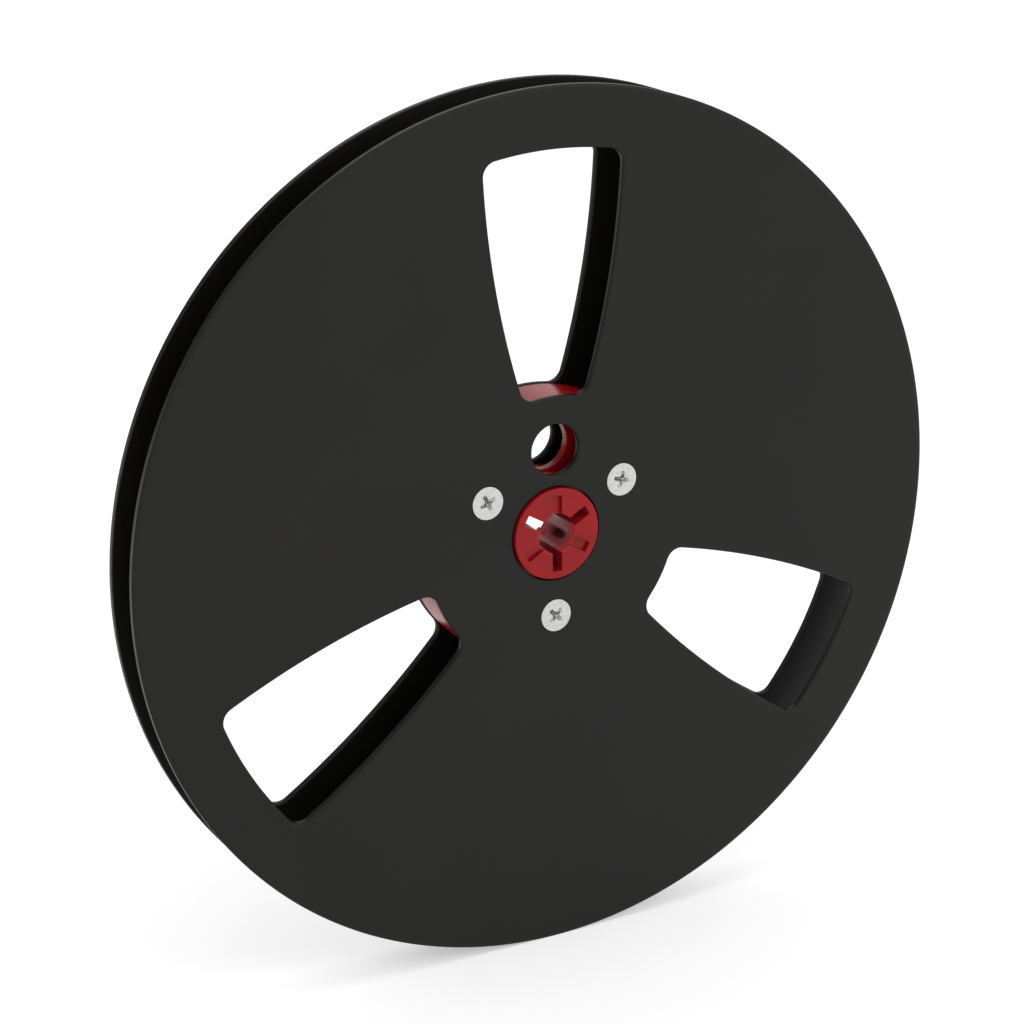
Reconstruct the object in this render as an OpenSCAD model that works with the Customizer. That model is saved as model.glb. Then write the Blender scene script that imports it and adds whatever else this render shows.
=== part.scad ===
// Audio tape reel, 7 inch class, standing on its rim.
// Two black flanges are screwed to a red hub that carries the tape and the spindle bore.
// The origin is on the reel's axis, half way between the flanges. The axis runs along Y,
// the front flange faces -Y, and one window points straight up along +Z.

/* [Flanges] */
// Diameter of each flange
flange_d = 178; // [160:1:270]
// Thickness of each flange
flange_t = 1.5; // [1.2:0.1:2.4]
// Clear width between the flanges, where the tape is wound
tape_gap = 9; // [8:0.1:14]
// Radius that rounds the edges of a flange's rim
rim_round = 0.2; // [0.1:0.05:0.55]

/* [Windows] */
// Width of the flange's outer band, from a window's outer edge to the rim
rim_band = 12.2; // [6:0.1:20]
// Flange material between the hub's winding wall and a window's inner edge
window_lip = 0.2; // [0:0.1:4]
// Width of a window between its sharp inner corners
window_inner_w = 13.5; // [9:0.1:20]
// Width of a window between its sharp outer corners
window_outer_w = 30.5; // [20:0.1:50]
// How far a window's sides bow outwards
window_bow = 1.7; // [0.5:0.1:4]
// Radius of a window's rounded corners
window_corner_r = 3; // [0.5:0.1:4]

/* [Finger hole] */
// Diameter of the finger hole in each flange
finger_hole_d = 10.4; // [6:0.1:10.6]
// Distance of the finger hole from the reel's axis
finger_hole_at = 17.3; // [17:0.1:18.5]
// How much wider the hole in the hub's web is, all round
web_hole_gap = 0.15; // [0:0.05:0.5]

/* [Hub] */
// Diameter of the winding wall that carries the tape
hub_d = 56; // [52:0.5:70]
// Thickness of the winding wall
hub_wall = 2.2; // [1.2:0.1:3]
// Thickness of the web half way through the hub
web_t = 1.8; // [1:0.1:4]
// Diameter of the centre boss that comes through the flanges
boss_d = 18.8; // [18:0.1:20]
// How far the boss stands proud of each flange
boss_proud = 0.6; // [0.2:0.1:2]
// Bevel on the edge of the boss
boss_bevel = 0.3; // [0.1:0.05:0.6]
// Gap all round between the boss and a flange's centre hole
boss_gap = 0.45; // [0.1:0.05:0.6]
// How far the collar under a flange reaches past the flange's centre hole
collar_reach = 1.6; // [0.8:0.1:2]
// Diameter of a screw post
post_d = 8.4; // [7:0.1:10]
// Thickness of the ribs that join boss, screw posts and winding wall
rib_t = 1.6; // [1:0.1:3]

/* [Spindle bore] */
// Diameter of the spindle bore
bore_d = 8.3; // [8:0.05:9]
// Bevel that leads the spindle into the bore
bore_bevel = 0.2; // [0.05:0.05:0.5]
// Width of the key slots and of the lock recesses
slot_w = 2.1; // [1.6:0.1:2.6]
// Distance from the reel's axis to a slot's outer end
slot_reach = 7.9; // [6:0.1:8.2]
// Depth of the lock recesses in each end of the boss
recess_depth = 0.8; // [0.5:0.1:3]

/* [Screws] */
// Distance of the screws from the reel's axis
screw_circle_r = 17.45; // [17:0.05:19]
// Diameter of a screw's head
head_d = 6.7; // [5.5:0.1:6.9]
// Thickness of the straight edge round a screw's head
head_land = 0.15; // [0.05:0.05:0.3]
// Diameter of a screw's shank
shank_d = 3.5; // [2.5:0.1:4]
// Length of a screw from the face of its head to its tip
screw_l = 5.3; // [4:0.1:5.6]
// Gap round a screw's head in its countersink
head_gap = 0.15; // [0.05:0.05:0.2]
// Gap round a screw's shank
shank_gap = 0.05; // [0.02:0.01:0.15]
// Width across the cross recess in a screw's head
cross_span = 3.6; // [2:0.1:3.8]
// Width of one arm of the cross recess
cross_w = 0.75; // [0.4:0.05:0.9]
// Depth of the cross recess
cross_depth = 1; // [0.6:0.1:1.6]

/* [Hidden] */
$fn = 96;

// Directions on the reel's face, counted from +X towards +Z
top = 90;
third = 120;
screw_right = 30;
screw_left = screw_right + third;
screw_bottom = screw_left + third;

// How far each screw's cross is turned
cross_turn_right = 75;
cross_turn_left = 26;
cross_turn_bottom = 46;
cross_turn_rear = 12;

// A cut runs this far past the faces that it opens
past = 1;

// Heights along the axis, counted from the middle of the reel
inner_face = tape_gap / 2;
outer_face = inner_face + flange_t;
boss_face = outer_face + boss_proud;

// Radii
flange_r = flange_d / 2;
hub_r = hub_d / 2;
boss_r = boss_d / 2;
centre_hole_r = boss_r + boss_gap;
collar_r = centre_hole_r + collar_reach;
bore_r = bore_d / 2;
web_hole_r = finger_hole_d / 2 + web_hole_gap;
head_r = head_d / 2;
shank_r = shank_d / 2;
rim_edge = min(rim_round, flange_t / 2 - 0.05);

// A window's own arcs. Its sides are arcs of one radius, bowed outwards from a straight
// line between an inner and an outer corner.
window_in_r = hub_r + window_lip;
window_out_r = flange_r - rim_band;
corner_in_x = window_inner_w / 2;
corner_in_y = sqrt(pow(window_in_r, 2) - pow(corner_in_x, 2));
corner_out_x = window_outer_w / 2;
corner_out_y = sqrt(pow(window_out_r, 2) - pow(corner_out_x, 2));
side_dx = corner_out_x - corner_in_x;
side_dy = corner_out_y - corner_in_y;
side_chord = sqrt(pow(side_dx, 2) + pow(side_dy, 2));
side_r = (pow(side_chord / 2, 2) + pow(window_bow, 2)) / (2 * window_bow);
side_back = side_r - window_bow;
side_x = (corner_in_x + corner_out_x) / 2 - side_back * side_dy / side_chord;
side_y = (corner_in_y + corner_out_y) / 2 + side_back * side_dx / side_chord;

// Point where a circle of radius r1 about the reel's axis meets a circle of radius r2
// about the right-hand side arc's centre, on the right
function right_meeting(r1, r2) =
    let (d = sqrt(pow(side_x, 2) + pow(side_y, 2)))
    let (along = (pow(r1, 2) - pow(r2, 2) + pow(d, 2)) / (2 * d))
    let (across = sqrt(pow(r1, 2) - pow(along, 2)))
    let (ux = side_x / d)
    let (uy = side_y / d)
    let (sign_x = (ux * along + uy * across > ux * along - uy * across) ? 1 : -1)
    [ux * along + sign_x * uy * across, uy * along - sign_x * ux * across];

// Centres of the right-hand corner fillets
fillet_in = right_meeting(window_in_r + window_corner_r, side_r - window_corner_r);
fillet_out = right_meeting(window_out_r - window_corner_r, side_r - window_corner_r);

// Angles at which the outline's arcs meet
in_turn = atan2(fillet_in[1], fillet_in[0]);
out_turn = atan2(fillet_out[1], fillet_out[0]);
side_in_turn = atan2(fillet_in[1] - side_y, fillet_in[0] - side_x);
side_out_turn = atan2(fillet_out[1] - side_y, fillet_out[0] - side_x);

// Points of an arc from turn a to turn b, both ends included
function arc(centre, r, a, b, steps) =
    [for (i = [0 : steps]) let (t = a + (b - a) * i / steps)
        [centre[0] + r * cos(t), centre[1] + r * sin(t)]];

// The right-hand half of a window's outline, from its inner edge up to its outer edge
right_half = concat(
    arc([0, 0], window_in_r, 90, in_turn, 5),
    arc(fillet_in, window_corner_r, in_turn - 180, side_in_turn, 8),
    arc([side_x, side_y], side_r, side_in_turn, side_out_turn, 12),
    arc(fillet_out, window_corner_r, side_out_turn, out_turn, 8),
    arc([0, 0], window_out_r, out_turn, 90, 6)
);
half_count = len(right_half);
// The left-hand half is the mirror image, walked back down without the shared points
left_half = [for (i = [half_count - 2 : -1 : 1]) [-right_half[i][0], right_half[i][1]]];

// Turns a piece from the bench position, with the axis along Z and the front face up,
// to the standing one
module stand_up() {
    rotate([90, 0, 0]) children();
}

// Puts a child at a place on the screw circle
module on_circle(turn, r) {
    rotate([0, 0, turn]) translate([r, 0, 0]) children();
}

// One window's opening, pointing along +Y on the bench
module window_cut() {
    translate([0, 0, -past])
        linear_extrude(flange_t + 2 * past)
            polygon(concat(right_half, left_half));
}

// The outline of a screw from its face down to its tip, with room round it
module screw_form(head_room, shank_room, tip_room, above) {
    cone_depth = head_land + head_r - shank_r;
    rotate_extrude()
        polygon([
            [0, above],
            [head_r + head_room, above],
            [head_r + head_room, -head_land],
            [shank_r + shank_room, -cone_depth - head_room + shank_room],
            [shank_r + shank_room, -screw_l - tip_room],
            [0, -screw_l - tip_room]
        ]);
}

// The countersunk hole for one screw, measured down from the flange's outer face
module screw_seat(turn) {
    on_circle(turn, screw_circle_r)
        translate([0, 0, outer_face])
            screw_form(head_gap, shank_gap, past, past);
}

// Flat disc with a rounded rim, lying on its inner face
module flange_blank() {
    rotate_extrude() {
        square([flange_r - rim_edge, flange_t]);
        translate([0, rim_edge]) square([flange_r, flange_t - 2 * rim_edge]);
        translate([flange_r - rim_edge, rim_edge]) circle(rim_edge);
        translate([flange_r - rim_edge, flange_t - rim_edge]) circle(rim_edge);
    }
}

// One flange as it lies on top of the hub on the bench
module flange() {
    difference() {
        translate([0, 0, inner_face]) flange_blank();
        translate([0, 0, inner_face]) {
            translate([0, 0, -past]) cylinder(h = flange_t + 2 * past, r = centre_hole_r);
            translate([0, finger_hole_at, -past])
                cylinder(h = flange_t + 2 * past, d = finger_hole_d);
            for (k = [0 : 2]) rotate([0, 0, k * third]) window_cut();
        }
        for (k = [0 : 2]) screw_seat(screw_right + k * third);
    }
}

module front_flange() {
    color([0.19, 0.185, 0.18]) stand_up() flange();
}

module rear_flange() {
    color([0.19, 0.185, 0.18]) stand_up() mirror([0, 0, 1]) flange();
}

// Ring wall of the hub with its thin web
module hub_shell() {
    rotate_extrude() {
        translate([hub_r - hub_wall, -inner_face]) square([hub_wall, 2 * inner_face]);
        translate([boss_r - past, -web_t / 2]) square([hub_r - hub_wall / 2 - boss_r + past, web_t]);
    }
}

// Centre boss with bevelled ends, and the collar that the flanges rest on
module hub_boss() {
    rotate_extrude() {
        polygon([
            [0, -boss_face],
            [boss_r - boss_bevel, -boss_face],
            [boss_r, -boss_face + boss_bevel],
            [boss_r, boss_face - boss_bevel],
            [boss_r - boss_bevel, boss_face],
            [0, boss_face]
        ]);
        translate([boss_r - past, -inner_face]) square([collar_r - boss_r + past, 2 * inner_face]);
    }
}

// A rib that runs from the boss to the winding wall through one screw post
module hub_rib(turn) {
    rotate([0, 0, turn])
        translate([boss_r - past, -rib_t / 2, -inner_face])
            cube([hub_r - hub_wall / 2 - boss_r + past, rib_t, 2 * inner_face]);
    on_circle(turn, screw_circle_r)
        translate([0, 0, -inner_face]) cylinder(h = 2 * inner_face, d = post_d);
}

// Round bore with a lead-in bevel at both ends
module bore_cut() {
    rotate_extrude()
        polygon([
            [0, -boss_face - past],
            [bore_r + bore_bevel + past, -boss_face - past],
            [bore_r, -boss_face + bore_bevel],
            [bore_r, boss_face - bore_bevel],
            [bore_r + bore_bevel + past, boss_face + past],
            [0, boss_face + past]
        ]);
}

// One slot cut outwards from the bore, between two heights along the axis
module slot_cut(turn, low, high) {
    rotate([0, 0, turn])
        translate([0, -slot_w / 2, low]) cube([slot_reach, slot_w, high - low]);
}

module hub() {
    color([0.62, 0.13, 0.16])
        stand_up()
            difference() {
                union() {
                    hub_shell();
                    hub_boss();
                    for (k = [0 : 2]) hub_rib(screw_right + k * third);
                }
                bore_cut();
                for (k = [0 : 2]) {
                    slot_cut(screw_right + k * third, -boss_face - past, boss_face + past);
                    slot_cut(top + k * third, boss_face - recess_depth, boss_face + past);
                    slot_cut(top + k * third, -boss_face - past, -boss_face + recess_depth);
                    screw_seat(screw_right + k * third);
                    mirror([0, 0, 1]) screw_seat(screw_right + k * third);
                }
                translate([0, finger_hole_at, -inner_face])
                    cylinder(h = 2 * inner_face, r = web_hole_r);
            }
}

// One screw with its cross recess, in its place in the front flange
module screw(turn, cross_turn) {
    on_circle(turn, screw_circle_r)
        translate([0, 0, outer_face])
            difference() {
                screw_form(0, 0, 0, 0);
                for (k = [0, 1])
                    rotate([0, 0, cross_turn - turn + 90 * k])
                        translate([-cross_span / 2, -cross_w / 2, -cross_depth])
                            cube([cross_span, cross_w, cross_depth + past]);
            }
}

module front_screw(turn, cross_turn) {
    color([0.82, 0.82, 0.8]) stand_up() screw(turn, cross_turn);
}

module rear_screw(turn) {
    color([0.82, 0.82, 0.8]) stand_up() mirror([0, 0, 1]) screw(turn, cross_turn_rear + turn);
}

front_flange();
rear_flange();
hub();
front_screw(screw_right, cross_turn_right);  // front_screw_right
front_screw(screw_left, cross_turn_left);  // front_screw_left
front_screw(screw_bottom, cross_turn_bottom);  // front_screw_bottom
rear_screw(screw_right);  // rear_screw_right
rear_screw(screw_left);  // rear_screw_left
rear_screw(screw_bottom);  // rear_screw_bottom
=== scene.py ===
# Audio tape reel, 7 inch class, standing on its rim in plain soft studio light.
# Everything is in metres. The reel's axis runs along Y and its front flange faces -Y.
# A piece is first made lying on the bench, with its axis along Z and the front face up.

from math import asin, atan2, cos, pi, radians, sin, sqrt

import bmesh
import bpy
from mathutils import Euler, Matrix, Vector


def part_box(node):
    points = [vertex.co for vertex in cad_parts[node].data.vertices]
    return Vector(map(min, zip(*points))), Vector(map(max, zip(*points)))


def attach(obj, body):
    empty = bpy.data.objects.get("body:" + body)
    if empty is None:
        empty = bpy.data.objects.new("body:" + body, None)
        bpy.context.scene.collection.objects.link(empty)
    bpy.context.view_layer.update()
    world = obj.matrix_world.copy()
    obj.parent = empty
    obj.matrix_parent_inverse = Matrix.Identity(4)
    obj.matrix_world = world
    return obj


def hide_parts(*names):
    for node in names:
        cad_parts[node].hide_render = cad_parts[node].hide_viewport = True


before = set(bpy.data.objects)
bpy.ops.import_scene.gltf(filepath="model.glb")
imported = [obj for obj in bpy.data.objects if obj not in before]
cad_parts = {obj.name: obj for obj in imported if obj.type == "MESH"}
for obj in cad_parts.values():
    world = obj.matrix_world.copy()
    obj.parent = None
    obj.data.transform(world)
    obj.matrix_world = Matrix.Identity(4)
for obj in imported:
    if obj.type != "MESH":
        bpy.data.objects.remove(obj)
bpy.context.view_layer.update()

# Flanges
# Two thin discs of black plastic, moulded alike and screwed to the two faces of the hub.
# Each has three petal windows, a finger hole, a centre hole that the hub's boss comes through
# and three countersinks. The mould rounds every edge and leaves a fine matt skin.

mm = 0.001
third = 2 * pi / 3
flange_low, flange_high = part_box("front_flange")
outer_face = -flange_low.y
inner_face = -flange_high.y
flange_t = outer_face - inner_face
flange_r = 89 * mm
rim_edge_width = 0.9 * mm
rim_edge_depth = 0.25 * mm
lip_edge = 0.5 * mm
centre_hole_r = 9.85 * mm
centre_hole_edge = 0.12 * mm
finger_hole_r = 5.2 * mm
finger_hole_at = 17.3 * mm
screw_circle_r = 17.45 * mm
countersink_r = 3.47 * mm
countersink_land = 0.15 * mm
countersink_edge = 0.05 * mm
first_screw_turn = radians(30)

# The window's outline: an inner and an outer arc about the axis, and two bowed sides
window_in_r = 28.2 * mm
window_out_r = 76.8 * mm
window_inner_w = 13.5 * mm
window_outer_w = 30.5 * mm
window_bow = 1.7 * mm
window_corner_r = 3 * mm

corner_in = Vector((window_inner_w / 2, sqrt(window_in_r**2 - (window_inner_w / 2) ** 2)))
corner_out = Vector((window_outer_w / 2, sqrt(window_out_r**2 - (window_outer_w / 2) ** 2)))
side = corner_out - corner_in
side_r = ((side.length / 2) ** 2 + window_bow**2) / (2 * window_bow)
side_back = Vector((-side.y, side.x)) / side.length * (side_r - window_bow)
side_centre = (corner_in + corner_out) / 2 + side_back


def right_meeting(axis_r, about_side_r):
    """Where a circle about the axis meets one about the right-hand side arc's centre."""
    apart = side_centre.length
    towards = side_centre / apart
    along = (axis_r**2 - about_side_r**2 + apart**2) / (2 * apart)
    across = Vector((towards.y, -towards.x)) * sqrt(axis_r**2 - along**2)
    return max(towards * along + across, towards * along - across, key=lambda p: p.x)


fillet_in = right_meeting(window_in_r + window_corner_r, side_r - window_corner_r)
fillet_out = right_meeting(window_out_r - window_corner_r, side_r - window_corner_r)


def turn_of(point):
    return atan2(point.y, point.x)


FLANGE_SIZES = {
    "Flange radius": flange_r,
    "Flange thickness": flange_t,
    "Inner face": inner_face,
    "Lip edge radius": lip_edge,
    "Rim edge width": rim_edge_width,
    "Rim edge depth": rim_edge_depth,
    "Centre hole radius": centre_hole_r,
    "Centre hole edge": centre_hole_edge,
    "Finger hole radius": finger_hole_r,
    "Finger hole distance": finger_hole_at,
    "Screw circle radius": screw_circle_r,
    "Countersink radius": countersink_r,
    "Countersink land": countersink_land,
    "Countersink edge": countersink_edge,
    "Window inner radius": window_in_r,
    "Window outer radius": window_out_r,
    "Window corner radius": window_corner_r,
    "Window side radius": side_r,
    "Window side centre": side_centre.to_3d(),
    "Inner corner centre": fillet_in.to_3d(),
    "Outer corner centre": fillet_out.to_3d(),
    "Inner corner turn": turn_of(fillet_in),
    "Outer corner turn": turn_of(fillet_out),
    "Side start turn": turn_of(fillet_in - side_centre),
    "Side end turn": turn_of(fillet_out - side_centre),
}


def standing(sizes, half_turn):
    """The same sizes with the turn that stands a piece up, 0 for the front and pi for the rear."""
    return dict(sizes, **{"Stand up": Euler((pi / 2, 0, half_turn))})


def feed(tree, socket, value):
    """Sets one input from a plain value, from a node's first output or from another output."""
    if isinstance(value, bpy.types.Node):
        value = value.outputs[0]
    if isinstance(value, bpy.types.NodeSocket):
        tree.links.new(value, socket)
    else:
        socket.default_value = value


def add(tree, kind, settings=None, **inputs):
    """Adds one node to a tree, with its settings and with what goes into it."""
    node = tree.nodes.new(kind)
    for name, value in (settings or {}).items():
        setattr(node, name, value)
    for name, value in inputs.items():
        feed(tree, node.inputs[name.replace("_", " ")], value)
    return node


def sums(tree, operation, first, second=0.0):
    """One step of arithmetic on one or two values."""
    node = add(tree, "ShaderNodeMath", {"operation": operation})
    feed(tree, node.inputs[0], first)
    feed(tree, node.inputs[1], second)
    return node


def vector(tree, x=0.0, y=0.0, z=0.0):
    return add(tree, "ShaderNodeCombineXYZ", X=x, Y=y, Z=z)


def join(tree, *pieces):
    node = add(tree, "GeometryNodeJoinGeometry")
    for piece in pieces:
        tree.links.new(piece.outputs[0], node.inputs[0])
    return node


def moved(tree, piece, by):
    return add(tree, "GeometryNodeTransform", Geometry=piece, Translation=by)


def mirrored(tree, piece):
    return add(tree, "GeometryNodeTransform", Geometry=piece, Scale=(-1, 1, 1))


def new_tree(name, sizes):
    """An empty geometry tree with one named input for each size, and its input node's outputs."""
    tree = bpy.data.node_groups.new(name, "GeometryNodeTree")
    tree.interface.new_socket("Geometry", in_out="INPUT", socket_type="NodeSocketGeometry")
    tree.interface.new_socket("Geometry", in_out="OUTPUT", socket_type="NodeSocketGeometry")
    kinds = {float: "NodeSocketFloat", Vector: "NodeSocketVector", Euler: "NodeSocketRotation"}
    for size, value in sizes.items():
        tree.interface.new_socket(size, in_out="INPUT", socket_type=kinds[type(value)])
    return tree, tree.nodes.new("NodeGroupInput").outputs


def arc(tree, centre, radius, start, end, steps):
    """An arc about a centre, from one turn to another."""
    curve = add(
        tree, "GeometryNodeCurveArc", {"mode": "RADIUS"},
        Resolution=steps + 1, Radius=radius, Start_Angle=start,
        Sweep_Angle=sums(tree, "SUBTRACT", end, start),
    )
    return moved(tree, curve, centre)


def strung(tree, curves, order, closed):
    """One line through the points of several curves, in the given order."""
    one_point = mm / 1000
    points = add(tree, "GeometryNodeCurveToPoints", {"mode": "EVALUATED"}, Curve=curves)
    single = add(tree, "GeometryNodeMergeByDistance", Geometry=points, Distance=one_point)
    line = add(tree, "GeometryNodePointsToCurves", Points=single, Weight=order)
    return add(tree, "GeometryNodeSetSplineCyclic", Geometry=line, Cyclic=closed)


def place_part(tree, part):
    """One coordinate of each point's place."""
    place = add(tree, "GeometryNodeInputPosition")
    return add(tree, "ShaderNodeSeparateXYZ", Vector=place).outputs[part]


def lip_profile(tree, edge, outer_width, thickness):
    """The section of a hole's lip or of the rim: a quarter round at the inner face, a straight
    wall, and a quarter oval at the outer face, as deep as the round and as wide as given.
    A sweep turns it over, so its top comes to lie at the flange's inner face."""
    round_steps = 9
    oval_steps = 14
    half = sums(tree, "MULTIPLY", thickness, 0.5)
    high = sums(tree, "SUBTRACT", half, edge)
    low = sums(tree, "SUBTRACT", edge, half)
    inset = sums(tree, "SUBTRACT", outer_width, edge)
    upper = arc(tree, vector(tree, y=high), edge, pi / 2, pi, round_steps)
    lower = add(
        tree, "GeometryNodeTransform",
        Geometry=arc(tree, (0.0, 0.0, 0.0), 1.0, pi, 3 * pi / 2, oval_steps),
        Translation=vector(tree, x=inset, y=low), Scale=vector(tree, outer_width, edge, 1.0),
    )
    return strung(tree, join(tree, upper, lower), place_part(tree, "Y"), False)


def swept(tree, line, section):
    """A section carried along a flat line, square to it."""
    upright = add(tree, "GeometryNodeSetCurveNormal", {"mode": "Z_UP"}, Curve=line)
    return add(tree, "GeometryNodeCurveToMesh", Curve=upright, Profile_Curve=section)


def three_times(tree, piece, first_turn):
    """Three copies of a piece round the axis."""
    spots = add(tree, "GeometryNodePoints", Count=3)
    index = add(tree, "GeometryNodeInputIndex")
    turn = sums(tree, "ADD", sums(tree, "MULTIPLY", index, third), first_turn)
    copies = add(
        tree, "GeometryNodeInstanceOnPoints",
        Points=spots, Instance=piece, Rotation=vector(tree, z=turn),
    )
    return add(tree, "GeometryNodeRealizeInstances", Geometry=copies)


def window_line(tree, size):
    """The outline at which a window's rounded lip begins, on a flange's flat face."""
    inner_steps = 8
    corner_steps = 14
    side_steps = 24
    outer_steps = 12
    grow = size["Lip edge radius"]
    corner = sums(tree, "ADD", size["Window corner radius"], grow)
    inner_r = sums(tree, "SUBTRACT", size["Window inner radius"], grow)
    outer_r = sums(tree, "ADD", size["Window outer radius"], grow)
    long_r = sums(tree, "ADD", size["Window side radius"], grow)
    in_turn = size["Inner corner turn"]
    out_turn = size["Outer corner turn"]
    low_turn = size["Side start turn"]
    high_turn = size["Side end turn"]
    in_back = sums(tree, "SUBTRACT", in_turn, pi)
    axis = (0.0, 0.0, 0.0)
    half = join(
        tree,
        arc(tree, axis, inner_r, pi / 2, in_turn, inner_steps),
        arc(tree, size["Inner corner centre"], corner, in_back, low_turn, corner_steps),
        arc(tree, size["Window side centre"], long_r, low_turn, high_turn, side_steps),
        arc(tree, size["Outer corner centre"], corner, high_turn, out_turn, corner_steps),
        arc(tree, axis, outer_r, out_turn, pi / 2, outer_steps),
    )
    whole = join(tree, half, mirrored(tree, half))
    radii = sums(tree, "ADD", size["Window inner radius"], size["Window outer radius"])
    above = sums(tree, "SUBTRACT", place_part(tree, "Y"), sums(tree, "MULTIPLY", radii, 0.5))
    round_the_window = sums(tree, "ARCTAN2", above, place_part(tree, "X"))
    return strung(tree, whole, round_the_window, True)


def circle(tree, radius, steps):
    return add(
        tree, "GeometryNodeCurvePrimitiveCircle", {"mode": "RADIUS"},
        Resolution=steps, Radius=radius,
    )


def band(tree, low_r, high_r, height, steps):
    """An open ring wall between two radii, standing on the bench."""
    return add(
        tree, "GeometryNodeMeshCone", {"fill_type": "NONE"}, Vertices=steps,
        Side_Segments=1, Radius_Bottom=low_r, Radius_Top=high_r, Depth=height,
    )


def filled(tree, lines, height):
    """A flat face at a height, bounded by closed lines."""
    face = add(tree, "GeometryNodeFillCurve", {"mode": "TRIANGLES"}, Curve=lines)
    return moved(tree, face, vector(tree, z=height))


def screw_seats(tree, size):
    """The walls of the three countersinks, and the circles at their mouths and floors."""
    steps = 64
    thickness = size["Flange thickness"]
    head_r = size["Countersink radius"]
    land = size["Countersink land"]
    bevel = size["Countersink edge"]
    mouth_r = sums(tree, "ADD", head_r, bevel)
    cone_h = sums(tree, "SUBTRACT", thickness, land)
    floor_r = sums(tree, "SUBTRACT", head_r, cone_h)
    wall_h = sums(tree, "SUBTRACT", land, bevel)
    wall_top = sums(tree, "SUBTRACT", thickness, bevel)
    seat = join(
        tree,
        band(tree, floor_r, head_r, cone_h, steps),
        moved(tree, band(tree, head_r, head_r, wall_h, steps), vector(tree, z=cone_h)),
        moved(tree, band(tree, head_r, mouth_r, bevel, steps), vector(tree, z=wall_top)),
    )
    out = vector(tree, x=size["Screw circle radius"])
    shapes = (seat, circle(tree, mouth_r, steps), circle(tree, floor_r, steps))
    return [three_times(tree, moved(tree, shape, out), first_screw_turn) for shape in shapes]


def end_tree(tree, piece, material):
    """Ends a tree with plain, smooth mesh in its material."""
    plain = add(tree, "GeometryNodeRealizeInstances", Geometry=piece)
    smooth = add(tree, "GeometryNodeSetShadeSmooth", Geometry=plain)
    dressed = add(tree, "GeometryNodeSetMaterial", Geometry=smooth, Material=material)
    output = tree.nodes.new("NodeGroupOutput")
    tree.links.new(dressed.outputs[0], output.inputs[0])
    return tree


def flange_tree(material):
    """The rule that makes a flange from its sizes: lips, rim and seats with two flat faces."""
    rim_steps = 480
    centre_steps = 144
    finger_steps = 96
    one_point = mm / 500
    tree, size = new_tree("flange", standing(FLANGE_SIZES, 0))
    thickness = size["Flange thickness"]
    lip_round = size["Lip edge radius"]
    centre_round = size["Centre hole edge"]
    rim_w = size["Rim edge width"]
    rim_h = size["Rim edge depth"]
    outside_r = size["Flange radius"]
    middle = vector(tree, z=sums(tree, "MULTIPLY", thickness, 0.5))

    windows = three_times(tree, window_line(tree, size), 0.0)
    finger_r = sums(tree, "ADD", size["Finger hole radius"], lip_round)
    finger_at = vector(tree, y=size["Finger hole distance"])
    finger = moved(tree, circle(tree, finger_r, finger_steps), finger_at)
    outer_rim = circle(tree, sums(tree, "SUBTRACT", outside_r, rim_w), rim_steps)
    inner_rim = circle(tree, sums(tree, "SUBTRACT", outside_r, rim_h), rim_steps)
    centre_r = sums(tree, "ADD", size["Centre hole radius"], centre_round)
    centre = circle(tree, centre_r, centre_steps)
    seats, mouths, floors = screw_seats(tree, size)

    lip = lip_profile(tree, lip_round, lip_round, thickness)
    rim_lip = mirrored(tree, lip_profile(tree, rim_h, rim_w, thickness))
    centre_lip = lip_profile(tree, centre_round, centre_round, thickness)
    lips = join(
        tree,
        swept(tree, join(tree, windows, finger), lip),
        swept(tree, inner_rim, rim_lip),
        swept(tree, centre, centre_lip),
    )
    holes = (windows, finger, centre)
    parts = join(
        tree,
        moved(tree, lips, middle),
        seats,
        filled(tree, join(tree, outer_rim, *holes, mouths), thickness),
        filled(tree, join(tree, inner_rim, *holes, floors), 0.0),
    )
    whole = add(tree, "GeometryNodeMergeByDistance", Geometry=parts, Distance=one_point)
    raised = moved(tree, whole, vector(tree, z=size["Inner face"]))
    stood = add(tree, "GeometryNodeTransform", Geometry=raised, Rotation=size["Stand up"])
    return end_tree(tree, stood, material)


def plain_mesh(thing, name):
    """The finished mesh of an object with its modifiers worked in."""
    bpy.context.view_layer.update()
    graph = bpy.context.evaluated_depsgraph_get()
    mesh = bpy.data.meshes.new_from_object(thing.evaluated_get(graph), depsgraph=graph)
    mesh.name = name
    return mesh


def new_object(name, mesh):
    thing = bpy.data.objects.new(name, mesh)
    bpy.context.scene.collection.objects.link(thing)
    return thing


def grown(name, tree, sizes, start=None):
    """The plain mesh that a geometry tree makes from its sizes."""
    holder = new_object(name + "_rule", start or bpy.data.meshes.new(name + "_start"))
    modifier = holder.modifiers.new("rule", "NODES")
    modifier.node_group = tree
    for socket in tree.interface.items_tree:
        if socket.in_out == "INPUT" and socket.name in sizes:
            modifier[socket.identifier] = sizes[socket.name]
    mesh = plain_mesh(holder, name)
    holder.modifiers.remove(modifier)
    bpy.data.objects.remove(holder)
    return mesh


def finished(name, mesh, crease):
    """A piece with its faces outwards and smooth, but for edges sharper than the crease."""
    one_point = mm / 2000
    sliver = mm / 5000
    solid = bmesh.new()
    solid.from_mesh(mesh)
    bmesh.ops.remove_doubles(solid, verts=solid.verts, dist=one_point)
    bmesh.ops.dissolve_degenerate(solid, edges=solid.edges, dist=sliver)
    bmesh.ops.recalc_face_normals(solid, faces=solid.faces)
    solid.to_mesh(mesh)
    solid.free()
    mesh.shade_smooth()
    mesh.set_sharp_from_angle(angle=crease)
    piece = new_object(name, mesh)
    even = piece.modifiers.new("even_shading", "WEIGHTED_NORMAL")
    even.keep_sharp = True
    even.mode = "FACE_AREA"
    piece.data = plain_mesh(piece, name)
    piece.modifiers.remove(even)
    bpy.data.meshes.remove(mesh)
    return piece


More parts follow.
